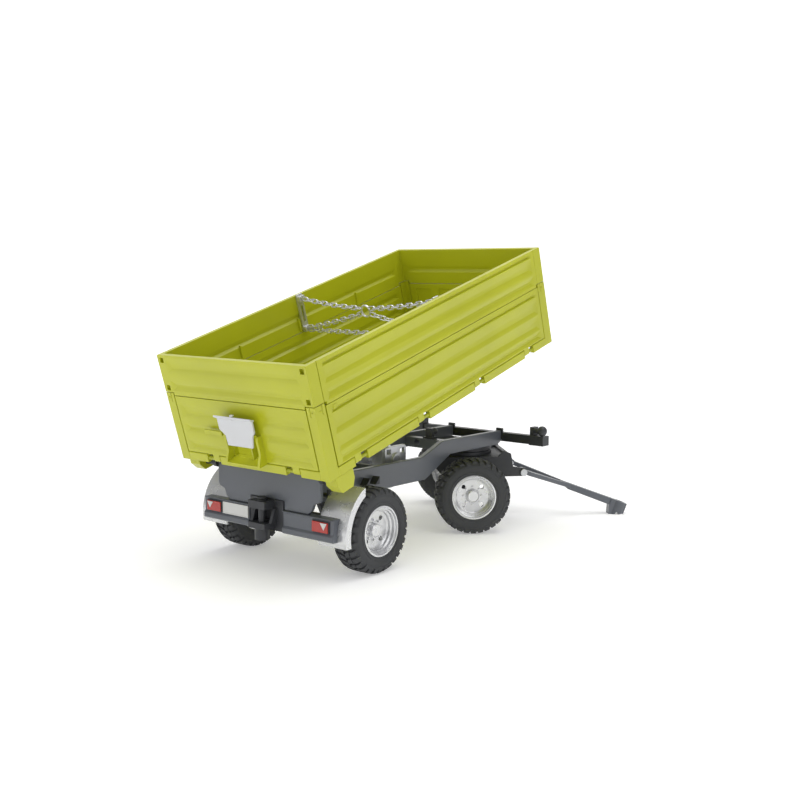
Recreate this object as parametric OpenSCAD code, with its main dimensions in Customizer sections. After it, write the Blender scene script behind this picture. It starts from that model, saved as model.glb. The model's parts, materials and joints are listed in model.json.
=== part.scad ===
// Toy two-axle drawbar trailer with a tipping box, removable upper walls, drop sides and a grain slide.
// Millimetres. +X is forward (drawbar end), +Y is left, +Z is up and z = 0 is the ground.

/* [Box] */
// Outside width of the box
box_w = 160; // [156:1:170]
// Outside length of the box
box_l = 307; // [300:1:330]
// Height of the lower walls above the sill's bottom edge
low_h = 54.2; // [52:0.2:60]
// Height of the whole box with its upper walls
full_h = 87.6; // [84:0.2:96]
// Thickness of the walls
wall_t = 4; // [4:0.1:5]

/* [Pose] */
// Tipping angle of the stored pose
tip = 16.7; // [10:0.1:20]
// Steering angle of the stored pose, negative turns the drawbar right
steer = -44.4; // [-50:0.1:0]
// Slope of the drawbar resting on the ground
bar_slope = 20.3; // [20.3:0.1:20.6]

/* [Wheels] */
// Tyre radius
tyre_r = 33; // [32:0.1:33]
// Tyre width
tyre_w = 24; // [22:0.5:25]
// Distance from the axle's middle to a tyre's middle
track_y = 66.5; // [66:0.1:67.5]
// Radius of the axle's end
stub_r = 3; // [2.5:0.1:3.5]

/* [Chassis] */
// Outer face of a frame rail
rail_y = 30.4; // [30:0.1:31]
// Thickness of a frame rail
rail_t = 5; // [4:0.5:6]
// Turntable position ahead of the rear axle
turn_x = 205.8; // [204:0.1:207]

/* [Tow eye] */
// Radius of the tow eye's hole
eye_r = 3.6; // [3:0.1:4]

/* [Hidden] */
$fn = 64;
// Running clearance of shafts in their holes
fit = 0.06;
// Gap between panels that meet
gap = 0.5;
// The stored frame's origin, measured from the rear axle
origin_x = 120.4;
origin_y = -18.3;
half_w = box_w / 2;
// Rear tipping pivot, on the chassis and in the box
hinge_x = -43;
hinge_y = 74;
hinge_z = 76.6;
hinge_u = 15;
hinge_w = -7;
ball_r = 4.6;
front_ball_x = hinge_x + box_l - 2 * hinge_u - 3.2;
front_ball_z = 85;
// Top of the pads under the front balls
pad_z = 80.3;
stub_y = track_y + 3;
// Radius of a wheel's hub cap
hub_r = 5.2;
// Radius of the drum behind each wheel
drum_r = 8.4;
box_x = hinge_x - hinge_u * cos(tip) + hinge_w * sin(tip);
box_z = hinge_z - hinge_u * sin(tip) - hinge_w * cos(tip);
// Box parts
sill_h = 7;
post_top = low_h + 2.4;
floor_w = 7;
floor_t = 2.6;
post_u = 11;
post_v = 9;
panel_gap = 0.6;
// Place of the front ball along the box
u_ball = front_ball_x - hinge_x + hinge_u;
knuckle_u = [34.2, 111.4, 189, 266.8];
knuckle_v = [-46, 40];
// Depth of the troughs and grooves pressed into the walls, and of the front wall's inner recesses
trough_d = 1.7;
recess_d = 1;
// Heights of the walls' outer troughs and inner grooves above their lower edge
end_troughs = [[3.9, 12.2], [18.9, 29.5]];
side_troughs = [[2.6, 10.6], [14.6, 26.4], [27.4, 30]];
drop_troughs = [[1.2, 8.4], [9.9, 22.3], [23.9, 36.7], [39.4, 42.2]];
upper_grooves = [[11, 17.5]];
drop_grooves = [[5.5, 12.5], [20, 26.5], [35, 41]];
pin_w = 3.4;
pin_r = 1.5;
// Telescopic cylinder: pivot on the chassis, its tilt and its stages
cyl_x = 91.5;
cyl_z = 70;
cyl_lean = 8.77;
cyl_step = 12.73;
cyl_ball = 54.09;
// The barrel's trunnions and the bosses of the cradle around them
trunnion_r = 3;
cradle_boss_r = 5.6;
socket_u = 149.4;
socket_w = 1.6;
// Radius of the lightening holes in the cross beams and the turntable
beam_hole_r = 3.2;
// Side outline of a frame rail, which steps up over the bogie
rail_points = [[-41, 51], [-41, 71], [110, 71], [139, 82], [229, 82], [229, 72], [223, 69],
    [150, 69], [114, 51]];
// Turntable: its radius, its king pin and the bogie's top under it
turntable_r = 29;
king_r = 4;
bogie_top = 61.4;
// Half the clear width between the bogie's side plates
bogie_in = 28.6;
// Bogie and drawbar
bar_pivot_l = 54;
bar_pivot_z = 46.6;
// Outline of the left drawbar arm, seen from above
bar_arm_points = [[0, 27.6], [0, 21.6], [6, 20.6], [50, 3.9], [56, 3.9], [8, 27.6]];
// Bumper: its top edge and its ends; half the hitch's width fits between its halves
bumper_top = 48;
bumper_y = 70.2;
hitch_w = 18;
// Mudguard: outer radius, thickness, inner edge and width
guard_r = 41.2;
guard_t = 1.8;
guard_y = 50.5;
guard_w = 28;
// Rear hitch: the pin's place and radius, the jaw's two plates and the pin's lower end
hitch_x = -50;
hitch_pin_r = 2.6;
jaw_bottom_z = 37.5;
jaw_top_z = 48.5;
hitch_pin_z = 33.5;
hitch_top_z = 55.8;
// Chains: their place along the box, the middle of their ring and one link
chain_u = 158;
ring_c = [0.5, 74.5];
link_l = 7.4;
link_w = 4.2;
link_t = 1.2;

// ---------- frames and shared shapes ----------

module placed() {
    translate([-origin_x, -origin_y, 0]) children();
}

module in_box() {
    placed() translate([box_x, 0, box_z]) rotate([0, -tip, 0]) children();
}

module in_bogie() {
    placed() translate([turn_x, 0, 0]) rotate([0, 0, steer]) children();
}

module in_drawbar() {
    in_bogie() translate([bar_pivot_l, 0, bar_pivot_z]) rotate([0, bar_slope, 0]) children();
}

module in_cylinder() {
    placed() translate([cyl_x, 0, cyl_z]) rotate([0, -cyl_lean, 0]) children();
}

module block(x0, x1, y0, y1, z0, z1) {
    translate([x0, y0, z0]) cube([x1 - x0, y1 - y0, z1 - z0]);
}

// Cylinder along Y from y0 to y1
module rod_y(x, z, r, y0, y1) {
    translate([x, y1, z]) rotate([90, 0, 0]) cylinder(h = y1 - y0, r = r);
}

// Cylinder along X from x0 to x1
module rod_x(y, z, r, x0, x1) {
    translate([x0, y, z]) rotate([0, 90, 0]) cylinder(h = x1 - x0, r = r);
}

// Side view (x, z) given thickness along Y from y0 to y1
module side_plate(points, y0, y1) {
    translate([0, y1, 0]) rotate([90, 0, 0]) linear_extrude(y1 - y0) polygon(points);
}

// Front view (y, z) given thickness along X from x0 to x1
module cross_plate(points, x0, x1) {
    translate([x0, 0, 0]) rotate([90, 0, 90]) linear_extrude(x1 - x0) polygon(points);
}

// Trough pressed into a face at y = 0: it runs along X from x0 to x1 and from z0 to z1, with a short
// slope up from its lower edge, a longer one down from its upper edge, and sloped ends
module trough(x0, x1, z0, z1) {
    low_run = min(2.6, (z1 - z0) / 3);
    high_run = min(4.6, (z1 - z0) / 2.4);
    end_run = 2 * trough_d;
    out = 1 / trough_d;
    intersection() {
        cross_plate([[-1, z0 - low_run * out], [trough_d, z0 + low_run], [trough_d, z1 - high_run],
            [-1, z1 + high_run * out]], x0 - end_run, x1 + end_run);
        translate([0, 0, z0 - 5])
            linear_extrude(z1 - z0 + 10)
                polygon([[x0 - end_run * out, -1], [x0 + end_run, trough_d], [x1 - end_run, trough_d],
                    [x1 + end_run * out, -1]]);
    }
}

// Wall lying along X with its outer face at y = 0: outer troughs between the given heights,
// inner grooves between the others
module ribbed_wall(x0, x1, z0, z1, margin, outer, inner) {
    difference() {
        block(x0, x1, 0, wall_t, z0, z1);
        for (band = outer) trough(x0 + margin, x1 - margin, z0 + band[0], z0 + band[1]);
        for (band = inner)
            translate([0, wall_t, 0])
                mirror([0, 1, 0])
                    trough(x0 + margin, x1 - margin, z0 + band[0], z0 + band[1]);
    }
}

// ---------- chassis ----------

module rail(y0) {
    side_plate(rail_points, y0, y0 + rail_t);
}

module rail_left() {
    color("#4b4f57") placed() rail(rail_y - rail_t);
}

module rail_right() {
    color("#4b4f57") placed() rail(-rail_y);
}

module cross_beam(x0, x1, z0, z1) {
    difference() {
        block(x0, x1, rail_t - rail_y, rail_y - rail_t, z0, z1);
        for (y = [-12, 12]) rod_x(y, (z0 + z1) / 2, beam_hole_r, x0 - 1, x1 + 1);
    }
}

module cross_beams() {
    color("#4b4f57") placed() {
        cross_beam(-20, -14, 54, 69);
        cross_beam(58, 63, 53, 69);
        cross_beam(155, 163, 70, 79);
    }
}

module end_beam() {
    color("#33363b") placed() {
        difference() {
            block(229, 236, -62, 62, 72, 80);
            for (s = [-1, 1]) block(231, 237, s * 46 - 12, s * 46 + 12, 74, 78);
        }
        for (s = [-1, 1]) {
            block(227.5, 238, s * 69.5 - 7.5, s * 69.5 + 7.5, 71.5, pad_z);
            block(229, 237, s * 64 - 2, s * 64 + 2, pad_z, 88);
            block(229, 231, s * 28 - 3.5, s * 28 + 3.5, 80, 84);
        }
    }
}

module end_beam_balls() {
    color("#24262a") placed() for (s = [-1, 1]) {
        translate([front_ball_x, s * hinge_y, front_ball_z]) sphere(r = ball_r);
        rod_y(front_ball_x, front_ball_z, 2.6, s > 0 ? 66 : -72, s > 0 ? 72 : -66);
    }
}

module rear_apron() {
    color("#4b4f57") placed()
        cross_plate([[-56, 61], [-54.8, 58.4], [-49, 56.4], [-46.6, 51], [-43, bumper_top],
            [-hitch_w, bumper_top], [-hitch_w, 55], [hitch_w, 55], [hitch_w, bumper_top],
            [43, bumper_top], [46.6, 51], [49, 56.4], [54.8, 58.4], [56, 61], [56, 78.5],
            [-56, 78.5]], -44, -41);
}

module rear_balls() {
    color("#24262a") placed() for (s = [-1, 1]) {
        translate([hinge_x, s * hinge_y, hinge_z]) sphere(r = ball_r);
        rod_y(hinge_x, hinge_z, 2.6, s > 0 ? 56 : -72, s > 0 ? 72 : -56);
        rod_y(hinge_x, hinge_z, 3.8, s > 0 ? 56 : -60, s > 0 ? 60 : -56);
    }
}

// Two halves beside the hitch, folded from plate with a lip along the lower edge; the flanges are
// cut back round the mudguards
module bumper() {
    color("#4b4f57") placed() difference() {
        for (s = [-1, 1]) mirror([0, s > 0 ? 0 : 1, 0]) {
            side_plate([[-46.6, bumper_top], [-46.6, 47.2], [-45.6, 46.6], [-45.6, 36.6], [-47, 35],
                [-47, 31.4], [-45.6, 30.4], [-37, 30.4], [-37, 31.9], [-43.8, 31.9], [-43.8, 46.5],
                [-37, 46.5], [-37, bumper_top]], hitch_w + 0.5, bumper_y);
            block(-45, -37, bumper_y - 1.5, bumper_y, 31, bumper_top - 0.5);
        }
        for (s = [-1, 1])
            rod_y(0, tyre_r, guard_r + 0.1, s > 0 ? guard_y - 0.5 : -80, s > 0 ? 80 : 0.5 - guard_y);
    }
}

module bumper_brackets() {
    color("#33363b") placed() for (s = [-1, 1])
        side_plate([[-43.8, 33], [-43.8, 46.5], [-37, 46.5], [-37, bumper_top], [-41, bumper_top],
            [-41, 58], [-30, 64], [-22, 64], [-22, 52], [-36, 40], [-38, 33]],
            s * 23 - 2.4, s * 23 + 2.4);
}

module light_housings() {
    color("#2a2c30") placed() for (s = [-1, 1]) block(-46.6, -45.6, s * 58 - 8.6, s * 58 + 8.6, 36.9, 46);
}

module light_lenses() {
    color("#c8281e") placed() for (s = [-1, 1]) block(-47.6, -46.6, s * 58 - 7.9, s * 58 + 7.9, 37.5, 45.4);
}

module light_triangles() {
    color("#f2ece4") placed() for (s = [-1, 1])
        cross_plate([[s * 65.2, 44.8], [s * 58.6, 44.8], [s * 62.2, 39.6]], -48, -47.6);
}

module number_plate() {
    color("#f0f0f0") placed() difference() {
        block(-46.6, -45.6, 19.3, 48.3, 36.9, 46.2);
        block(-47, -46.3, 20.1, 47.5, 37.7, 45.4);
    }
}

module hitch_body() {
    color("#24262a") placed() difference() {
        union() {
            block(-45, -36, -hitch_w, hitch_w, 31, 55);
            block(-56, -45, -9, 9, jaw_top_z, jaw_top_z + 6);
            block(-56, -45, -9, 9, jaw_bottom_z - 4.5, jaw_bottom_z);
            for (s = [-1, 1])
                side_plate([[-45, jaw_bottom_z], [-51.5, jaw_bottom_z], [-50.5, 40], [-47.5, jaw_top_z],
                    [-45, jaw_top_z]], s * 10.2 - 1.4, s * 10.2 + 1.4);
            translate([hitch_x, 0, 24]) cylinder(h = 9, r = 5.6);
            translate([hitch_x, 0, jaw_top_z + 6]) cylinder(h = 1, r = 4.4);
        }
        translate([hitch_x, 0, 20]) cylinder(h = 40, r = hitch_pin_r + fit);
        block(-45.1, -40, -7.5, 7.5, 38.5, 47.5);
    }
}

module hitch_pin() {
    color("#24262a") placed() {
        translate([hitch_x, 0, hitch_pin_z]) cylinder(h = hitch_top_z - hitch_pin_z, r = hitch_pin_r);
        translate([hitch_x, 0, hitch_top_z]) cylinder(h = 1.4, r = 4);
    }
}

// Quarter arch over the back of a rear wheel, with a rolled outer edge
module mudguard() {
    difference() {
        union() {
            translate([0, 0, tyre_r]) rotate([90, 0, 0]) difference() {
                cylinder(h = guard_w, r = guard_r);
                translate([0, 0, -1]) cylinder(h = guard_w + 2, r = guard_r - guard_t);
            }
            translate([0, 1.6 - guard_w, tyre_r]) rotate([90, 0, 0]) difference() {
                cylinder(h = 1.6, r = guard_r);
                translate([0, 0, -1]) cylinder(h = 4, r = 35.6);
            }
        }
        block(-19.5, 45, -30, 2, -20, 90);
        block(-60, 0, -30, 2, -20, 26);
    }
}

module mudguard_left() {
    color("#c4c6c9") placed() translate([0, guard_y, 0]) mirror([0, 1, 0]) mudguard();
}

module mudguard_right() {
    color("#c4c6c9") placed() translate([0, -guard_y, 0]) mudguard();
}

module mudguard_stays() {
    color("#24262a") placed() for (s = [-1, 1]) {
        rod_y(-27, 60.5, 2, s > 0 ? rail_y : -guard_y, s > 0 ? guard_y : -rail_y);
        block(-30, -24, s * 49.8 - 0.7, s * 49.8 + 0.7, 58.5, 66);
        for (x = [28, 40])
            side_plate([[x, 58], [x + 5, 64], [x + 5, 58]], s > 0 ? rail_y : -rail_y - 7,
                s > 0 ? rail_y + 7 : -rail_y);
    }
}

// Axle through both wheels, with a brake drum behind each
module axle(r) {
    rod_y(0, tyre_r, r, -53, 53);
    rod_y(0, tyre_r, stub_r, -stub_y, stub_y);
    for (s = [-1, 1]) rod_y(0, tyre_r, drum_r, s * 50.5 - 2.5, s * 50.5 + 2.5);
}

module rear_axle() {
    color("#33363b") placed() {
        axle(5);
        block(-4, 4, -52, 52, tyre_r - 4, tyre_r + 3);
        for (s = [-1, 1])
            side_plate([[-18, 51], [18, 51], [7, tyre_r - 3], [-7, tyre_r - 3]],
                s * 27.9 - 2, s * 27.9 + 2);
    }
}

module cylinder_cradle() {
    color("#a9acb0") placed() for (s = [-1, 1]) difference() {
        union() {
            side_plate([[79, 58], [77.5, 66], [77.5, 80], [83, 81.5], [104, 81.5], [105.5, 80],
                [105.5, 66], [100, 58]],
                s * 14 - 1.5, s * 14 + 1.5);
            rod_y(cyl_x, cyl_z, cradle_boss_r, s > 0 ? 15.5 : -17.5, s > 0 ? 17.5 : -15.5);
            block(80, 86, s * 20.45 - 4.95, s * 20.45 + 4.95, 59, 65);
            block(97, 102, s * 20.45 - 4.95, s * 20.45 + 4.95, 59, 65);
        }
        rod_y(cyl_x, cyl_z, trunnion_r + fit, -30, 30);
        side_plate([[80, 75], [80, 79], [85.5, 79], [85.5, 75]], s * 14 - 2, s * 14 + 2);
        side_plate([[97.5, 75], [97.5, 79], [103, 79], [103, 75]], s * 14 - 2, s * 14 + 2);
    }
}

module rest_post() {
    color("#24262a") placed() {
        block(157, 161, -3.5, 3.5, 79, 88.4);
        block(155.5, 162.5, -5.5, 5.5, 79, 80.6);
        rod_x(0, 85, 1.6, 161, 164);
        translate([165.2, 0, 85]) sphere(r = 3.3);
    }
}

module turntable_top() {
    color("#24262a") placed() translate([turn_x, 0, 0]) difference() {
        union() {
            translate([0, 0, 65.2]) cylinder(h = 3.8, r = turntable_r);
            block(-20, 20, rail_t - rail_y, rail_y - rail_t, 69, 72);
        }
        translate([0, 0, 60]) cylinder(h = 20, r = king_r + fit);
        for (a = [45:90:315]) rotate([0, 0, a]) translate([17, 0, 60]) cylinder(h = 20, r = 4.5);
    }
}

// ---------- bogie, drawbar and wheels ----------

module turntable_base() {
    color("#2b2d31") in_bogie() {
        difference() {
            translate([0, 0, bogie_top]) cylinder(h = 3.4, r = turntable_r);
            for (a = [0:60:300])
                rotate([0, 0, a]) translate([18, 0, 60]) cylinder(h = 6, r = beam_hole_r);
        }
        translate([0, 0, bogie_top]) cylinder(h = 12, r = king_r);
    }
}

module bogie_side(s) {
    difference() {
        side_plate([[-24, 47], [-28, 52], [-28, 58], [-22, 61.4], [30, 61.4], [36, 66.5], [42, 64],
            [44, 52], [56, 50.2], [57.5, 46.6], [56, 43.2], [43, 43], [20, 43], [14, 40], [10, 28],
            [-10, 28], [-14, 40]],
            s * (bogie_in + 1.7) - 1.7, s * (bogie_in + 1.7) + 1.7);
        rod_y(0, tyre_r, 4.2, -60, 60);
        rod_y(bar_pivot_l, bar_pivot_z, 2 + fit, -60, 60);
    }
}

module bogie_side_left() {
    color("#33363b") in_bogie() bogie_side(1);
}

module bogie_side_right() {
    color("#33363b") in_bogie() bogie_side(-1);
}

module bogie_cross() {
    color("#33363b") in_bogie() {
        block(-27, -23, -bogie_in, bogie_in, 52, bogie_top);
        block(-23, 33, -bogie_in, bogie_in, bogie_top - 2.8, bogie_top);
        difference() {
            block(38, 41.6, -bogie_in, bogie_in, 51.5, 63.5);
            for (y = [-15, 15]) rod_x(y, 57.5, beam_hole_r, 30, 50);
        }
        block(33, 38, -bogie_in, bogie_in, bogie_top - 2.8, bogie_top);
    }
}

module front_axle() {
    color("#33363b") in_bogie() {
        axle(4);
        for (s = [-1, 1]) rod_y(0, tyre_r, 6.4, s * 34 - 2, s * 34 + 2);
    }
}

module drawbar_pins() {
    color("#8b8f94") in_bogie() for (s = [-1, 1]) {
        rod_y(bar_pivot_l, bar_pivot_z, 2, s > 0 ? 20 : -32.6, s > 0 ? 32.6 : -20);
        rod_y(bar_pivot_l, bar_pivot_z, 3.2, s > 0 ? 32.6 : -34, s > 0 ? 34 : -32.6);
    }
}

module drawbar_arms() {
    color("#3a3d43") in_drawbar() for (s = [-1, 1]) difference() {
        union() {
            mirror([0, s > 0 ? 0 : 1, 0])
                translate([0, 0, -1.7]) linear_extrude(3.8) polygon(bar_arm_points);
            rod_y(0, 0, 3.4, s > 0 ? 21.6 : -27.6, s > 0 ? 27.6 : -21.6);
        }
        rod_y(0, 0, 2 + fit, -40, 40);
    }
}

module drawbar_beam() {
    color("#3a3d43") in_drawbar() {
        side_plate([[46, -2], [46, 2.4], [98, 2.7], [98, -3.8], [54, -3.2], [52, -2]], -3.9, 3.9);
    }
}

module tow_eye() {
    color("#3a3d43") intersection() {
        in_drawbar() difference() {
            union() {
                side_plate([[98, -3.8], [101, -14], [114, -14], [114, 2.7], [98, 2.7]], -4.6, 4.6);
                translate([107.6, 0, -14]) cylinder(h = 16.7, r = 6.8);
            }
            translate([107.6, 0, -20]) cylinder(h = 40, r = eye_r);
            translate([107.6, 0, -20]) cylinder(h = 14, r = 5);
            side_plate([[104, -20], [106, -8], [108, -8], [110, -20]], -9, 9);
        }
        translate([-400, -400, 0]) cube([1000, 1000, 200]);
    }
}

module tyre() {
    half = tyre_w / 2;
    // Half of the section, from the bead to the tread
    side = [[18.6, half - 2.4], [20.4, half - 0.6], [24.5, half], [28, half - 0.1],
        [tyre_r - 1.8, half - 1.4], [tyre_r - 0.4, half - 3.6], [tyre_r, half - 7]];
    mirrored = [for (i = [len(side) - 1:-1:0]) [side[i][0], -side[i][1]]];
    rotate([90, 0, 0]) rotate_extrude() polygon(concat(side, mirrored));
}

// The outer side faces -Y; the origin is the tyre's middle
module rim() {
    difference() {
        union() {
            rotate([90, 0, 0]) rotate_extrude() polygon([[0, 3.4], [stub_r + fit, 3.4],
                [stub_r + fit, -7.6],
                [7, -7.6], [7, -1], [16, 1], [16, -9.6], [18.6, -9.6], [18.6, 9.6], [19.5, 10.5],
                [19.5, 11.2], [18.2, 11.4], [17.7, 10], [16.9, 9.6], [16.9, 7.2], [15.6, 6.4],
                [15.6, 4.4], [14, 3.2], [hub_r + 1, 2.6], [hub_r + 0.6, 3.4], [hub_r, 3.4],
                [hub_r, 5.9], [hub_r - 0.8, 6.5], [0, 6.5]]);
            for (a = [0:45:315]) rotate([0, a, 0]) rod_y(7.9, 0, 0.9, -4.2, -2.2);
        }
        for (a = [45:90:315]) rotate([0, a, 0]) rod_y(11.4, 0, 1.9, -15, 5);
    }
}

// A wheel at the end of an axle: s is -1 for right and 1 for left
module at_wheel(s) {
    translate([0, s * track_y, tyre_r]) mirror([0, s > 0 ? 1 : 0, 0]) children();
}

module tyre_rear_left() {
    color("#2e3032") placed() at_wheel(1) tyre();
}

module tyre_rear_right() {
    color("#2e3032") placed() at_wheel(-1) tyre();
}

module tyre_front_left() {
    color("#2e3032") in_bogie() at_wheel(1) tyre();
}

module tyre_front_right() {
    color("#2e3032") in_bogie() at_wheel(-1) tyre();
}

module rim_rear_left() {
    color("#c4c6c9") placed() at_wheel(1) rim();
}

module rim_rear_right() {
    color("#c4c6c9") placed() at_wheel(-1) rim();
}

module rim_front_left() {
    color("#c4c6c9") in_bogie() at_wheel(1) rim();
}

module rim_front_right() {
    color("#c4c6c9") in_bogie() at_wheel(-1) rim();
}

// ---------- telescopic cylinder ----------

// Tube closed at its lower end, with a collar at the top
module tube(r, bore, z0, z1) {
    difference() {
        translate([0, 0, z0]) cylinder(h = z1 - z0, r = r);
        translate([0, 0, z0 + 1.6]) cylinder(h = z1 - z0, r = bore);
    }
}

module cylinder_barrel() {
    color("#a9acb0") in_cylinder() difference() {
        union() {
            translate([0, 0, -26]) cylinder(h = 35.4, r = 8.6);
            rod_y(0, 0, trunnion_r, -17, 17);
            rod_y(0, 0, trunnion_r + 2, -12.2, 12.2);
        }
        translate([0, 0, -24.4]) cylinder(h = 50, r = 7 + fit);
    }
}

module cylinder_stage_1() {
    color("#c4c6c9") in_cylinder() translate([0, 0, cyl_step]) tube(7, 5.56, -24.2, 9.8);
}

module cylinder_stage_2() {
    color("#c4c6c9") in_cylinder() translate([0, 0, 2 * cyl_step]) tube(5.5, 4.06, -22.4, 10.2);
}

module cylinder_stage_3() {
    color("#c4c6c9") in_cylinder() {
        translate([0, 0, 3 * cyl_step - 20.6]) cylinder(h = cyl_ball - 3 * cyl_step + 20.6, r = 4);
        translate([0, 0, cyl_ball]) sphere(r = 4.4);
    }
}

// ---------- box ----------

module box_floor() {
    color("#b3c22c") in_box() {
        block(4.5, box_l - 4.5, 4.5 - half_w, half_w - 4.5, floor_w, floor_w + floor_t);
        for (v = [-34, 34]) block(6, box_l - 6, v - 2, v + 2, 1.4, floor_w);
        for (u = [60, 176, 246]) block(u - 1.6, u + 1.6, -32, 32, 3.4, floor_w);
    }
}

module sill_side(s) {
    y0 = s > 0 ? half_w - wall_t : -half_w;
    profile = [[s * half_w, 0], [s * half_w, sill_h - 0.5], [s * (half_w - 0.5), sill_h],
        [s * (half_w - wall_t - 1.2), sill_h], [s * (half_w - wall_t - 1.2), sill_h - 2],
        [s * (half_w - wall_t), sill_h - 2], [s * (half_w - wall_t), 0]];
    difference() {
        cross_plate(profile, post_u, box_l - post_u);
        for (u = knuckle_u) block(u - 5.4, u + 9.4, y0 - 2, y0 + wall_t + 2, -1, sill_h + 1);
        block(u_ball - 5.4, u_ball + 5.4, s > 0 ? 72 : 0.95 - half_w, s > 0 ? half_w - 0.95 : -72, -1, 6.2);
    }
}

module sill_end(u0) {
    difference() {
        side_plate(u0 < 10 ? [[0, 0], [0, sill_h - 0.5], [0.5, sill_h], [wall_t, sill_h], [wall_t, 0]]
            : [[u0, 0], [u0, sill_h], [box_l, sill_h], [box_l, 0]], post_v - half_w, half_w - post_v);
        if (u0 < 10) for (v = knuckle_v) block(u0 - 1, u0 + wall_t + 1, v - 5.4, v + 9.4, -1, sill_h + 1);
    }
}

module box_sills() {
    color("#b3c22c") in_box() {
        sill_side(1);
        sill_side(-1);
        sill_end(0);
        sill_end(box_l - wall_t);
    }
}

// Sockets under the box that hold the rear balls, and cups over the front ones
module box_feet() {
    color("#a5b520") in_box() {
        for (s = [-1, 1]) difference() {
            side_plate([[6, 0], [6, -7], [10.4, -13], [22, -13], [25, -7], [25, 0]],
                s > 0 ? 69 : -80, s > 0 ? 80 : -69);
            translate([hinge_u, s * hinge_y, hinge_w]) sphere(r = ball_r + fit);
            rod_y(hinge_u, hinge_w, 3, s > 0 ? 60 : -75, s > 0 ? 75 : -60);
        }
        difference() {
            translate([socket_u, 0, -2.2]) cylinder(h = floor_w + 2.2, r = 8.4);
            translate([socket_u, 0, -3]) cylinder(h = socket_w + 3, r = 5.9);
            translate([socket_u, 0, socket_w]) sphere(r = 5.9);
        }
    }
}

// Corner post with a latch mark on each outer face
module corner_post() {
    difference() {
        union() {
            block(0, post_u - gap, 0, wall_t, 0, post_top);
            block(0, wall_t, 0, post_v - gap, 0, post_top);
            block(0, post_u, 0, post_v, 0, sill_h);
        }
        block(post_u - 4.2, post_u - 3.4, -1, 0.6, low_h - 5, low_h + 3);
        block(-1, 0.6, post_v - 4.2, post_v - 3.4, low_h - 5, low_h + 3);
        block(post_u - 6.8, post_u - 4.2, -1, 0.6, low_h - 1.6, low_h - 0.8);
        block(-1, 0.6, post_v - 6.8, post_v - 4.2, low_h - 1.6, low_h - 0.8);
    }
}

module corner_posts() {
    color("#b3c22c") in_box()
        for (s = [-1, 1]) for (k = [0, 1])
            mirror([0, s > 0 ? 1 : 0, 0])
                translate([k * box_l, -half_w, 0]) mirror([k, 0, 0]) corner_post();
}

// Upright wall across the front, between the posts, with vertical recesses inside
module front_wall() {
    color("#b3c22c") in_box() translate([box_l, 0, 0]) rotate([0, 0, 90]) difference() {
        ribbed_wall(post_v - half_w, half_w - post_v, sill_h, low_h, 5,
            [[4, 14.5], [17.5, 28.5], [31.5, 42.5]], []);
        for (y = [-54, -27, 0, 27, 54])
            block(y - 9, y + 9, wall_t - recess_d, wall_t + 1, sill_h + 6, low_h - 5);
    }
}

module hinge_pins() {
    color("#8e9c1c") in_box() {
        for (s = [-1, 1]) for (u = knuckle_u)
            rod_x(s * (half_w - 2.2), pin_w, pin_r, u - 5.4, u + 9.4);
        for (v = knuckle_v) rod_y(2.2, pin_w, pin_r, v - 5.4, v + 9.4);
    }
}

// Tabs that reach down from a panel and turn on the hinge pins; the wall's outer face is at y = 0
module knuckles(list) {
    for (x = list) difference() {
        union() {
            block(x - 5, x + 2, 0, 3.9, pin_w, sill_h + panel_gap + 1);
            rod_x(2.2, pin_w, 2.2, x - 5, x + 2);
        }
        rod_x(2.2, pin_w, pin_r + fit, x - 6, x + 3);
    }
}

module drop_side() {
    ribbed_wall(post_u + gap, box_l - post_u - gap, sill_h + panel_gap, low_h, 4.5,
        drop_troughs, drop_grooves);
    knuckles(knuckle_u);
    block(post_u + 7, post_u + 10.6, -0.5, 0.1, low_h - 5.4, low_h - 2);
}

module drop_side_left() {
    color("#b3c22c") in_box() mirror([0, 1, 0]) translate([0, -half_w, 0]) drop_side();
}

module drop_side_right() {
    color("#b3c22c") in_box() translate([0, -half_w, 0]) drop_side();
}

// Tailgate with the grain chute in its middle and a finger ledge beside it
module tailgate() {
    color("#b3c22c") in_box() rotate([0, 0, -90]) {
        difference() {
            union() {
                block(post_v - half_w + gap, half_w - post_v - gap, 0, wall_t, sill_h + panel_gap, low_h);
                knuckles([for (v = knuckle_v) -v + 3]);
                for (s = [-1, 1])
                    cross_plate([[0, 30], [-3.6, 30], [-4.4, 27], [-4.4, 16], [-8.2, 8.4], [-8.2, 6.6],
                        [0, 7]], s * 17.4 - 1.1, s * 17.4 + 1.1);
                cross_plate([[0, 9.4], [-8.2, 8], [-8.2, 6.6], [0, 7.4]], -17.4, 17.4);
                block(-40, -20.4, -4.2, 2, 27.4, 29);
                block(-40, -20.4, -4.2, -3, 27.4, 30.6);
            }
            for (s = [-1, 1]) for (band = [[9.6, 17.4], [24.5, 31.8], [36.8, 48.3]])
                trough(s > 0 ? 22 : 4.5 + post_v - half_w, s > 0 ? half_w - post_v - 4.5 : -22,
                    band[0], band[1]);
            block(-15.4, 15.4, -1, wall_t + 1, 9.6, 29);
            for (band = [[20.4, 25.6], [35, 39.6]])
                translate([0, wall_t, 0]) mirror([0, 1, 0])
                    trough(post_v - half_w + 5, half_w - post_v - 5, band[0], band[1]);
        }
        block(4.6, 6.2, -1, wall_t, 9.4, 29.4);
    }
}

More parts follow.
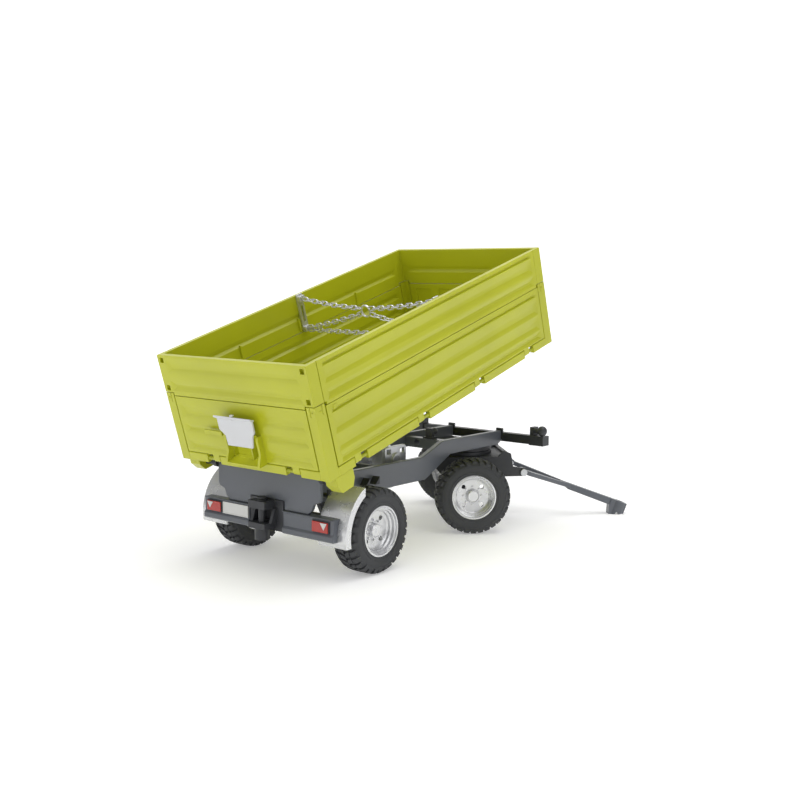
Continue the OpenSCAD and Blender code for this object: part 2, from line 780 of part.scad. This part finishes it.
// The rotate in tailgate() puts the outside at -Y; the gate shares that frame
module slide_gate() {
    color("#d6d8da") in_box() rotate([0, 0, -90]) {
        translate([0, -4.7, 0]) rotate([90, 0, 0]) linear_extrude(1.6)
            polygon([[-19, 43], [-19, 34], [-13.6, 29.4], [-13.2, 21.4], [13.4, 21.4], [16, 31],
                [18.6, 34], [19, 43]]);
        translate([0, 0, 43]) rotate([0, 90, 0]) translate([0, 0, -20]) linear_extrude(40)
            polygon([[0, -4.7], [0, -6.3], [-1.6, -8.6], [-3, -8.2], [-1.2, -4.7]]);
        block(-2, -0.8, -8, -6.2, 43, 47.4);
        block(-2, 1.2, -8, -6.2, 46.4, 47.4);
    }
}

// ---------- upper walls ----------

// One end wall with its corner columns and snap sockets
module upper_end() {
    z0 = low_h + gap;
    difference() {
        union() {
            ribbed_wall(-half_w, half_w, z0, full_h, 9.5, end_troughs, upper_grooves);
            for (s = [-1, 1]) {
                column_y = s * (half_w - wall_t / 2);
                block(column_y - wall_t / 2, column_y + wall_t / 2, 0, post_u, z0, full_h);
            }
        }
        for (s = [-1, 1]) {
            mirror([s > 0 ? 0 : 1, 0, 0])
                block(half_w - post_v - gap, half_w + 1, -1, post_u + 2, low_h - 1, post_top + gap);
            for (w = [low_h + 6.4, full_h - 4.2])
                block(s * 75.3 - 2, s * 75.3 + 2, -1, wall_t - 0.8, w - 2, w + 2);
            block(s * half_w - 0.8, s * half_w + 0.8, post_u - gap, post_u + 1, z0 - 1, full_h + 1);
        }
    }
}

module upper_side() {
    difference() {
        ribbed_wall(post_u, box_l - post_u, low_h + gap, full_h, 4.5, side_troughs, upper_grooves);
        for (x = [0, box_l - 13]) block(x, x + 13, -1, wall_t + 1, low_h - 1, post_top + gap);
    }
    for (u = [80, 151.5, 230])
        block(u - 0.7, u + 0.7, wall_t, wall_t + 1.8, low_h + gap + 2, low_h + gap + 13);
}

module upper_rear() {
    color("#b3c22c") in_box() rotate([0, 0, -90]) upper_end();
}

module upper_front() {
    color("#b3c22c") in_box() translate([box_l, 0, 0]) rotate([0, 0, 90]) upper_end();
}

module upper_right() {
    color("#b3c22c") in_box() translate([0, -half_w, 0]) upper_side();
}

module upper_left() {
    color("#b3c22c") in_box() mirror([0, 1, 0]) translate([0, -half_w, 0]) upper_side();
}

module chain_brackets() {
    color("#c4c6c9") in_box() for (s = [-1, 1]) difference() {
        plate_v = s * (half_w - 5);
        lug_v = s * (half_w - 7);
        u0 = chain_u - 3.4;
        u1 = chain_u + 3.4;
        union() {
            block(u0, u1, plate_v - 1, plate_v + 1, low_h + 0.8, full_h + 0.6);
            block(u0, u1, lug_v - 1.6, lug_v + 1.6, full_h - 6, full_h - 1);
            block(u0, u1, lug_v - 1.6, lug_v + 1.6, low_h + 0.4, low_h + 5);
        }
        block(chain_u - 1.3, chain_u + 1.3, plate_v - 6, plate_v + 6, low_h + 9, full_h - 10);
    }
}

// Flat link: a slot-shaped ring along X, lying in the XY plane
module link() {
    run = link_l - link_w;
    translate([0, 0, -link_t / 2]) linear_extrude(link_t) difference() {
        union() {
            square([run, link_w], center = true);
            for (s = [-1, 1]) translate([s * run / 2, 0]) circle(d = link_w, $fn = 32);
        }
        square([run, link_w - 2.2], center = true);
        for (s = [-1, 1]) translate([s * run / 2, 0]) circle(d = link_w - 2.2, $fn = 32);
    }
}

// Chain between two points (v, w) in the cross plane through chain_u
module chain(a, b) {
    run = norm(b - a);
    count = max(1, floor(run / 5.4));
    pitch = run / count;
    ang = atan2(b[1] - a[1], b[0] - a[0]);
    translate([chain_u, a[0], a[1]]) rotate([ang, 0, 0])
        for (i = [0:count - 1])
            translate([0, (i + 0.5) * pitch, 0])
                rotate([0, (i % 2) * 90, 0]) rotate([0, 0, 90]) link();
}

module chains() {
    color("#c4c6c9") in_box() {
        chain([half_w - 9.4, full_h - 3.6], ring_c + [4.2, 2.2]);
        chain([half_w - 9.4, low_h + 3.4], ring_c + [4.2, -2.2]);
        chain(ring_c + [-4.2, 2.2], [9.4 - half_w, full_h - 3.6]);
        chain(ring_c + [-4.2, -2.2], [9.4 - half_w, low_h + 3.4]);
        chain([half_w - 9.4, low_h + 1.6], [9.4 - half_w, low_h + 1.6]);
        translate([chain_u, ring_c[0], ring_c[1]]) rotate([0, 90, 0])
            rotate_extrude() translate([4.4, 0]) circle(r = 0.9, $fn = 24);
    }
}

rail_left();
rail_right();
cross_beams();
end_beam();
end_beam_balls();
rear_apron();
rear_balls();
bumper();
bumper_brackets();
light_housings();
light_lenses();
light_triangles();
number_plate();
hitch_body();
hitch_pin();
mudguard_left();
mudguard_right();
mudguard_stays();
rear_axle();
cylinder_cradle();
rest_post();
turntable_top();
turntable_base();
bogie_side_left();
bogie_side_right();
bogie_cross();
front_axle();
drawbar_pins();
drawbar_arms();
drawbar_beam();
tow_eye();
tyre_rear_left();
tyre_rear_right();
tyre_front_left();
tyre_front_right();
rim_rear_left();
rim_rear_right();
rim_front_left();
rim_front_right();
cylinder_barrel();
cylinder_stage_1();
cylinder_stage_2();
cylinder_stage_3();
box_floor();
box_sills();
box_feet();
corner_posts();
front_wall();
hinge_pins();
drop_side_left();
drop_side_right();
tailgate();
slide_gate();
upper_rear();
upper_front();
upper_left();
upper_right();
chain_brackets();
chains();
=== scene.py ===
import json
import math

import bmesh
import bpy
from mathutils import Matrix, Vector


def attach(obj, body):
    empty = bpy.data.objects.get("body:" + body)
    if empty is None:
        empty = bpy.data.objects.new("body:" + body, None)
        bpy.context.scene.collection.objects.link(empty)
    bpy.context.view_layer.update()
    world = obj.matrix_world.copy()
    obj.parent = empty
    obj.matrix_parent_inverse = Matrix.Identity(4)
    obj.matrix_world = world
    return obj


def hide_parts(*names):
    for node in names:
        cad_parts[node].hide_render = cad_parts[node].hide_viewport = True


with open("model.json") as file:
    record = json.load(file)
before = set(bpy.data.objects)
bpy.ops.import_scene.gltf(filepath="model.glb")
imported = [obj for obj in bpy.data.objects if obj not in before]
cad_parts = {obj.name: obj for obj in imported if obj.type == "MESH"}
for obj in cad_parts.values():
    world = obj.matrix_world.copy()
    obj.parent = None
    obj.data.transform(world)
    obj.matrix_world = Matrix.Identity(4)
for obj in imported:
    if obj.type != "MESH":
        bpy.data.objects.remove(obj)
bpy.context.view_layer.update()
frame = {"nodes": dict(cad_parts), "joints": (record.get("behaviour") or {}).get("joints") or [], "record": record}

MM = 0.001
JOINTS = {j["name"]: j for j in frame["joints"]}
SLOT_OF = {s["node"]: s["material_slot"] for s in frame["record"]["subparts"]}
BODY_OF = {n: b for b, nodes in frame["record"]["behaviour"]["bodies"].items() for n in nodes}


def add_object(name, data):
    """A new object in the scene that holds the data."""
    thing = bpy.data.objects.new(name, data)
    bpy.context.scene.collection.objects.link(thing)
    return thing


# ---------- camera ----------

# Place in metres, angles in degrees, lens and sensor in millimetres
CAMERA_AT = (-0.7435, -0.5850, 0.22355)
CAMERA_AZIMUTH = -50.77
CAMERA_ELEVATION = 6.34
CAMERA_ROLL = 0.41
CAMERA_LENS = 49.5
SENSOR = 36.0
CLIP_START = 0.01


def make_camera():
    azimuth = math.radians(CAMERA_AZIMUTH)
    elevation = math.radians(CAMERA_ELEVATION)
    back = Vector((
        math.sin(azimuth) * math.cos(elevation),
        -math.cos(azimuth) * math.cos(elevation),
        math.sin(elevation),
    ))
    data = bpy.data.cameras.new("camera")
    data.lens = CAMERA_LENS
    data.sensor_width = SENSOR
    data.clip_start = CLIP_START
    camera = add_object("camera", data)
    camera.location = CAMERA_AT
    camera.rotation_mode = "QUATERNION"
    facing = (-back).to_track_quat("-Z", "Y").to_matrix()
    roll = Matrix.Rotation(math.radians(CAMERA_ROLL), 3, back)
    camera.rotation_quaternion = (roll @ facing).to_quaternion()
    bpy.context.scene.camera = camera


# ---------- floor and light ----------

WORLD_LIGHT = 0.34
# The point that the area lights face
LIGHT_AIM = (0, 0, 0.08)
# Area lights: name, place in metres, side in metres, power in watts
LIGHTS = [
    ("left", (-1.35, 0.35, 0.75), 1.0, 4),
    ("right", (-0.1, -1.45, 0.8), 1.0, 4),
    ("top", (0.05, -0.1, 1.5), 1.3, 14),
]
# The floor gives light of its own, from NEAR_GLOW at GLOW_FROM to FAR_GLOW at GLOW_TO metres
NEAR_GLOW = 0.3
FAR_GLOW = 0.7
GLOW_FROM = 0.3
GLOW_TO = 1.8
# The floor in metres: half its side, and the radius, height and steps of its curve up
FLOOR_HALF = 6.0
BACKDROP_R = 2.0
BACKDROP_HIGH = 4.0
BACKDROP_STEPS = 12


def area_light(name, place, size, power):
    data = bpy.data.lights.new(name, "AREA")
    data.size = size
    data.energy = power
    light = add_object(name, data)
    light.location = place
    light.rotation_mode = "QUATERNION"
    light.rotation_quaternion = (Vector(LIGHT_AIM) - Vector(place)).to_track_quat("-Z", "Y")


def make_floor():
    """A flat floor that curves up into a backdrop, far behind the object as the camera sees it."""
    start = FLOOR_HALF - BACKDROP_R
    profile = [(-FLOOR_HALF, 0.0), (start, 0.0)]
    for i in range(1, BACKDROP_STEPS + 1):
        angle = math.pi / 2 * i / BACKDROP_STEPS
        profile.append((
            start + BACKDROP_R * math.sin(angle), BACKDROP_R - BACKDROP_R * math.cos(angle)))
    profile.append((FLOOR_HALF, BACKDROP_HIGH))
    points = [(x, y, z) for x, z in profile for y in (-FLOOR_HALF, FLOOR_HALF)]
    faces = [(2 * i, 2 * i + 2, 2 * i + 3, 2 * i + 1) for i in range(len(profile) - 1)]
    mesh = bpy.data.meshes.new("floor")
    mesh.from_pydata(points, [], faces)
    for face in mesh.polygons:
        face.use_smooth = True
    floor = add_object("floor", mesh)
    floor.rotation_euler[2] = math.radians(90 + CAMERA_AZIMUTH)
    mesh.materials.append(floor_material())


def make_studio():
    world = bpy.data.worlds.new("studio")
    world.use_nodes = True
    background = world.node_tree.nodes["Background"]
    background.inputs["Color"].default_value = (1, 1, 1, 1)
    background.inputs["Strength"].default_value = WORLD_LIGHT
    bpy.context.scene.world = world
    bpy.context.scene.view_settings.view_transform = "Standard"
    for name, place, size, power in LIGHTS:
        area_light(name, place, size, power)
    make_floor()


# ---------- materials ----------

COAT_ROUGHNESS = 0.25
# Noise, as scale and detail: colour drift, uneven gloss and moulded grain
DRIFT = (14, 4)
SMEAR = (60, 6)
GRAIN = (2600, 2)
# How far the gloss strays to either side of a material's roughness, and its lowest value
GLOSS_BELOW = 0.07
GLOSS_ABOVE = 0.09
GLOSS_LOWEST = 0.02
# Height of the grain, in metres
GRAIN_HEIGHT = 0.0001
# The part of the drift's range over which the colour changes
TINT_START = 0.3
TINT_END = 0.7


def noise(nodes, links, kind):
    """Noise in the object's own coordinates, so it stays put on the moving pieces."""
    scale, detail = kind
    place = nodes.new("ShaderNodeTexCoord")
    texture = nodes.new("ShaderNodeTexNoise")
    texture.inputs["Scale"].default_value = scale
    texture.inputs["Detail"].default_value = detail
    links.new(place.outputs["Object"], texture.inputs["Vector"])
    return texture


def plastic(name, color, roughness, grain=0.06, spread=0.06, metallic=0.0, coat=0.0, specular=0.5):
    """Moulded plastic: slow colour drift, uneven gloss and a fine moulded grain."""
    material = bpy.data.materials.new(name)
    material.use_nodes = True
    nodes, links = material.node_tree.nodes, material.node_tree.links
    shader = nodes["Principled BSDF"]
    shader.inputs["Roughness"].default_value = roughness
    shader.inputs["Metallic"].default_value = metallic
    shader.inputs["Coat Weight"].default_value = coat
    shader.inputs["Coat Roughness"].default_value = COAT_ROUGHNESS
    shader.inputs["Specular IOR Level"].default_value = specular

    drift = noise(nodes, links, DRIFT)
    tint = nodes.new("ShaderNodeValToRGB")
    low, high = tint.color_ramp.elements
    low.position = TINT_START
    high.position = TINT_END
    low.color = (*[c * (1 - spread) for c in color], 1)
    high.color = (*[min(1.0, c * (1 + spread)) for c in color], 1)
    links.new(drift.outputs["Fac"], tint.inputs["Fac"])
    links.new(tint.outputs["Color"], shader.inputs["Base Color"])

    smear = noise(nodes, links, SMEAR)
    gloss = nodes.new("ShaderNodeMapRange")
    gloss.inputs["To Min"].default_value = max(GLOSS_LOWEST, roughness - GLOSS_BELOW)
    gloss.inputs["To Max"].default_value = roughness + GLOSS_ABOVE
    links.new(smear.outputs["Fac"], gloss.inputs["Value"])
    links.new(gloss.outputs["Result"], shader.inputs["Roughness"])

    fine = noise(nodes, links, GRAIN)
    bump = nodes.new("ShaderNodeBump")
    bump.inputs["Strength"].default_value = grain
    bump.inputs["Distance"].default_value = GRAIN_HEIGHT
    links.new(fine.outputs["Fac"], bump.inputs["Height"])
    links.new(bump.outputs["Normal"], shader.inputs["Normal"])
    return material


def floor_material():
    """A pale floor whose far part glows softly, as a lit backdrop does."""
    material = plastic(
        "pale_floor", (0.86, 0.86, 0.86), 0.7, grain=0.01, spread=0.004, specular=0.2)
    nodes, links = material.node_tree.nodes, material.node_tree.links
    shader = nodes["Principled BSDF"]
    shader.inputs["Emission Color"].default_value = (1, 1, 1, 1)
    place = nodes.new("ShaderNodeTexCoord")
    far = nodes.new("ShaderNodeVectorMath")
    far.operation = "LENGTH"
    glow = nodes.new("ShaderNodeMapRange")
    glow.interpolation_type = "SMOOTHSTEP"
    glow.inputs["From Min"].default_value = GLOW_FROM
    glow.inputs["From Max"].default_value = GLOW_TO
    glow.inputs["To Min"].default_value = NEAR_GLOW
    glow.inputs["To Max"].default_value = FAR_GLOW
    links.new(place.outputs["Object"], far.inputs[0])
    links.new(far.outputs["Value"], glow.inputs["Value"])
    links.new(glow.outputs["Result"], shader.inputs["Emission Strength"])
    return material


MATERIALS = {
    "lime_plastic": plastic("lime_plastic", (0.485, 0.505, 0.014), 0.34, coat=0.16),
    "lime_dark": plastic("lime_dark", (0.38, 0.41, 0.015), 0.4),
    "frame_grey": plastic("frame_grey", (0.100, 0.109, 0.128), 0.32, spread=0.1, coat=0.15),
    "dark_plastic": plastic("dark_plastic", (0.033, 0.035, 0.04), 0.45, spread=0.12),
    "silver_plastic": plastic(
        "silver_plastic", (0.70, 0.705, 0.72), 0.25, grain=0.03, metallic=0.65),
    "satin_silver": plastic("satin_silver", (0.56, 0.57, 0.59), 0.34, metallic=0.9),
    "pale_plastic": plastic("pale_plastic", (0.66, 0.67, 0.69), 0.35, spread=0.03),
    "tyre_rubber": plastic(
        "tyre_rubber", (0.054, 0.056, 0.059), 0.68, grain=0.25, spread=0.2, specular=0.35),
    "red_lens": plastic("red_lens", (0.44, 0.022, 0.014), 0.2, grain=0.02, coat=0.4),
    "white_marking": plastic("white_marking", (0.66, 0.66, 0.65), 0.4, spread=0.02),
}

# ---------- pieces made from CAD shapes ----------

# How much the edges of each material are rounded, in millimetres
EDGE_MM = {
    "lime_plastic": 0.3, "lime_dark": 0.2, "frame_grey": 0.6, "dark_plastic": 0.4,
    "silver_plastic": 0.2, "satin_silver": 0.3, "pale_plastic": 0.25, "red_lens": 0.3,
    "white_marking": 0.1,
}
EDGE_STEPS = 2
# Surfaces that meet at more than this angle meet at an edge
EDGE_ANGLE = math.radians(35)
# Triangles that meet at less than this angle are one face
FLAT_ANGLE = math.radians(0.6)
# Corners closer than this, in metres, are one corner
WELD_M = 2e-6
NORMAL_WEIGHT = 100


def weld(mesh):
    """Joins the exported triangles into whole faces, so that edges can be rounded."""
    work = bmesh.new()
    work.from_mesh(mesh)
    bmesh.ops.remove_doubles(work, verts=work.verts, dist=WELD_M)
    bmesh.ops.dissolve_limit(
        work, angle_limit=FLAT_ANGLE, verts=work.verts, edges=work.edges)
    work.to_mesh(mesh)
    work.free()


def finish_mesh(piece):
    """Applies the modifiers, and smooths every surface up to its real edges."""
    for face in piece.data.polygons:
        face.use_smooth = True
    piece.data.set_sharp_from_angle(angle=EDGE_ANGLE)
    flatten = piece.modifiers.new("flat faces", "WEIGHTED_NORMAL")
    flatten.keep_sharp = True
    flatten.weight = NORMAL_WEIGHT
    shown = piece.evaluated_get(bpy.context.evaluated_depsgraph_get())
    mesh = bpy.data.meshes.new_from_object(shown)
    piece.modifiers.clear()
    piece.data = mesh


def dress(piece, slot, body, node):
    """Gives a piece its material, hangs it on the body it rides on, and hides the CAD node it stands for."""
    piece.data.materials.clear()
    piece.data.materials.append(MATERIALS[slot])
    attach(piece, body)
    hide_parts(node)


def softened(node):
    """A copy of a CAD node with rounded edges, which stands for it."""
    slot = SLOT_OF[node]
    mesh = frame["nodes"][node].data.copy()
    weld(mesh)
    piece = add_object(node + "_piece", mesh)
    bevel = piece.modifiers.new("round", "BEVEL")
    bevel.width = EDGE_MM[slot] * MM
    bevel.segments = EDGE_STEPS
    bevel.limit_method = "ANGLE"
    bevel.angle_limit = EDGE_ANGLE
    bevel.use_clamp_overlap = True
    finish_mesh(piece)
    dress(piece, slot, BODY_OF[node], node)


def built_mesh(work, name):
    """The mesh that was built up in work, with its faces turned outwards."""
    bmesh.ops.recalc_face_normals(work, faces=work.faces)
    mesh = bpy.data.meshes.new(name)
    work.to_mesh(mesh)
    work.free()
    return mesh


# ---------- tyres ----------

# Lengths in millimetres
TYRE_R = 33.0
TREAD_BASE_R = 31.5
LUGS = 32
TURNS = 128
# Half of the carcass section, from the bead to the middle of the tread: radius and side
CARCASS = [
    (18.7, 9.6), (19.3, 10.5), (20.4, 11.2), (21.4, 11.35), (21.6, 11.7), (22.3, 11.7),
    (22.5, 11.45), (24.5, 11.75), (26.4, 11.75), (27.4, 11.5), (27.6, 11.75), (28.2, 11.65),
    (28.5, 11.2), (29.6, 10.5), (30.6, 9.2), (TREAD_BASE_R, 7.0), (TREAD_BASE_R + 0.1, 0.0),
]
# Sections across the tyre of a shoulder lug and a middle lug: side and radius of the outer surface
SHOULDER_LUG = [(6.0, TYRE_R), (8.4, TYRE_R - 0.25), (10.4, TYRE_R - 1.5), (11.6, TYRE_R - 3.9)]
MIDDLE_LUG = [(0.35, TYRE_R), (2.7, TYRE_R), (5.1, TYRE_R)]
LUG_DEPTH = 1.9
# Width, skew and set-back of the lugs, as parts of the distance from one lug to the next
SHOULDER_WIDTH = 0.68
SHOULDER_SKEW = 0.25
MIDDLE_WIDTH = 0.66
MIDDLE_SKEW = 0.42
MIDDLE_BACK = 0.3
# How much each side of a lug narrows towards its top, as a part of its width
LUG_TAPER = 0.035


def ring_point(radius, side, angle):
    return Vector((radius * math.sin(angle), side, radius * math.cos(angle))) * MM


def add_carcass(work):
    section = CARCASS + [(r, -s) for r, s in reversed(CARCASS[:-1])]
    rings = []
    for i in range(TURNS):
        angle = 2 * math.pi * i / TURNS
        rings.append([work.verts.new(ring_point(r, s, angle)) for r, s in section])
    count = len(section)
    for i in range(TURNS):
        here, there = rings[i], rings[(i + 1) % TURNS]
        for k in range(count):
            n = (k + 1) % count
            work.faces.new((here[k], here[n], there[n], there[k]))


def add_lug(work, section, sign, start, width, skew):
    """A block along the section, from its base up; skew is how far its outer end runs ahead."""
    rows = []
    span = section[-1][0] - section[0][0]
    for side, radius in section:
        ahead = skew * (side - section[0][0]) / span
        corners = []
        for depth in (0, LUG_DEPTH):
            for edge, inset in ((0, 1), (1, -1)):
                taper = LUG_TAPER * width * inset * (1 if depth == 0 else 0)
                angle = start + ahead + width * edge + taper
                corners.append(work.verts.new(ring_point(radius - depth, sign * side, angle)))
        rows.append(corners)
    for here, there in zip(rows, rows[1:]):
        for a, b in ((0, 1), (1, 3), (3, 2), (2, 0)):
            work.faces.new((here[a], here[b], there[b], there[a]))
    for row in (rows[0], rows[-1]):
        work.faces.new((row[0], row[1], row[3], row[2]))


def make_tyre(node, joint):
    """A tyre with its tread, on its wheel's axis; every second shoulder lug is shorter."""
    work = bmesh.new()
    add_carcass(work)
    pitch = 2 * math.pi / LUGS
    for i in range(LUGS):
        for sign in (1, -1):
            offset = 0 if sign > 0 else pitch / 2
            start = i * pitch + offset
            section = SHOULDER_LUG if i % 2 == 0 else SHOULDER_LUG[:-1]
            add_lug(
                work, section, sign, start, pitch * SHOULDER_WIDTH, pitch * SHOULDER_SKEW)
            add_lug(
                work, MIDDLE_LUG, sign, start - pitch * MIDDLE_BACK, pitch * MIDDLE_WIDTH,
                pitch * MIDDLE_SKEW)
    mesh = built_mesh(work, node + "_tread")
    axis = Vector(joint["axis"])
    turn = Vector((0, 1, 0)).rotation_difference(axis).to_matrix().to_4x4()
    mesh.transform(Matrix.Translation(Vector(joint["pos_m"])) @ turn)
    piece = add_object(node + "_tread", mesh)
    finish_mesh(piece)
    dress(piece, "tyre_rubber", BODY_OF[node], node)


# ---------- chains ----------

# The tipped box's own axes: along it, across it and up its walls, and the corner they start from
ALONG = Vector(JOINTS["side_right_drop"]["axis"])
ACROSS = Vector((0, 1, 0))
UP_WALL = Vector(JOINTS["upper_frame_lift"]["axis"])
# Where the tailgate's pin is, along and up, in millimetres
TAILGATE_PIN = (2.2, 3.4)
BOX_CORNER = Vector(JOINTS["tailgate_drop"]["pos_m"]) - (
    ALONG * TAILGATE_PIN[0] + UP_WALL * TAILGATE_PIN[1]) * MM

# Lengths in millimetres: where the chains hang, and where they meet the walls and the ring
CHAIN_ALONG = 158.0
CHAIN_SIDE = 70.6
CHAIN_TOP = 84.0
CHAIN_LOW = 57.6
CROSS_LOW = 55.8
TOP_SAG = 1.2
LOW_SAG = 1.0
CROSS_SAG = 0.8
RING_AT = (0.5, 74.5)
RING_R = 4.7
RING_WIRE_R = 0.95
RING_STEPS = 32
# From the middle of the ring to a chain's end, across and up
HOOK_ACROSS = 4.4
HOOK_UP = 2.2
WIRE_R = 0.62
LINK_HALF = 1.75
LINK_RUN = 1.75
LINK_PITCH = 5.3
LINK_STEPS = 20
WIRE_SIDES = 8


def box_point(along, across, up):
    return BOX_CORNER + (ALONG * along + ACROSS * across + UP_WALL * up) * MM


def add_loop(work, center, run_dir, side_dir, half, run, wire, steps):
    """A closed wire: two straight runs joined by half circles, in the plane of the directions."""
    normal = run_dir.cross(side_dir)
    rings = []
    for i in range(steps):
        angle = 2 * math.pi * i / steps
        shift = run if math.cos(angle) > 0 else -run
        middle = run_dir * (shift + half * math.cos(angle)) + side_dir * (half * math.sin(angle))
        outward = run_dir * math.cos(angle) + side_dir * math.sin(angle)
        ring = []
        for k in range(WIRE_SIDES):
            turn = 2 * math.pi * k / WIRE_SIDES
            point = middle + (outward * math.cos(turn) + normal * math.sin(turn)) * wire
            ring.append(work.verts.new(center + point * MM))
        rings.append(ring)
    for i in range(steps):
        here, there = rings[i], rings[(i + 1) % steps]
        for k in range(WIRE_SIDES):
            n = (k + 1) % WIRE_SIDES
            work.faces.new((here[k], there[k], there[n], here[n]))


def add_chain(work, start, end, sag):
    """Links from start to end, each (across, up), every second one turned by a right angle."""
    span = math.hypot(end[0] - start[0], end[1] - start[1])
    count = round(span / LINK_PITCH)

    def place(part):
        drop = 4 * sag * part * (1 - part)
        across = start[0] + (end[0] - start[0]) * part
        return box_point(CHAIN_ALONG, across, start[1] + (end[1] - start[1]) * part - drop)

    for i in range(count):
        first, last = place(i / count), place((i + 1) / count)
        run_dir = (last - first).normalized()
        side_dir = ALONG if i % 2 else run_dir.cross(ALONG).normalized()
        add_loop(
            work, (first + last) / 2, run_dir, side_dir, LINK_HALF, LINK_RUN, WIRE_R, LINK_STEPS)


def make_chains():
    """Two chains from each wall to a ring in the middle, and one straight across below it."""
    work = bmesh.new()
    across, up = RING_AT
    left, right = across + HOOK_ACROSS, across - HOOK_ACROSS
    high, low = up + HOOK_UP, up - HOOK_UP
    add_chain(work, (CHAIN_SIDE, CHAIN_TOP), (left, high), TOP_SAG)
    add_chain(work, (CHAIN_SIDE, CHAIN_LOW), (left, low), LOW_SAG)
    add_chain(work, (right, high), (-CHAIN_SIDE, CHAIN_TOP), TOP_SAG)
    add_chain(work, (right, low), (-CHAIN_SIDE, CHAIN_LOW), LOW_SAG)
    add_chain(work, (CHAIN_SIDE, CROSS_LOW), (-CHAIN_SIDE, CROSS_LOW), CROSS_SAG)
    ring_center = box_point(CHAIN_ALONG, across, up)
    add_loop(work, ring_center, ACROSS, UP_WALL, RING_R, 0, RING_WIRE_R, RING_STEPS)
    piece = add_object("chain_links", built_mesh(work, "chain_links"))
    finish_mesh(piece)
    dress(piece, "silver_plastic", "upper_frame", "chains")


# ---------- everything ----------

make_camera()
make_studio()
for cad_node in sorted(frame["nodes"]):
    if cad_node.startswith("tyre_"):
        wheel = cad_node.replace("tyre_", "wheel_")
        make_tyre(cad_node, JOINTS[wheel + "_spin"])
    elif cad_node == "chains":
        make_chains()
    else:
        softened(cad_node)
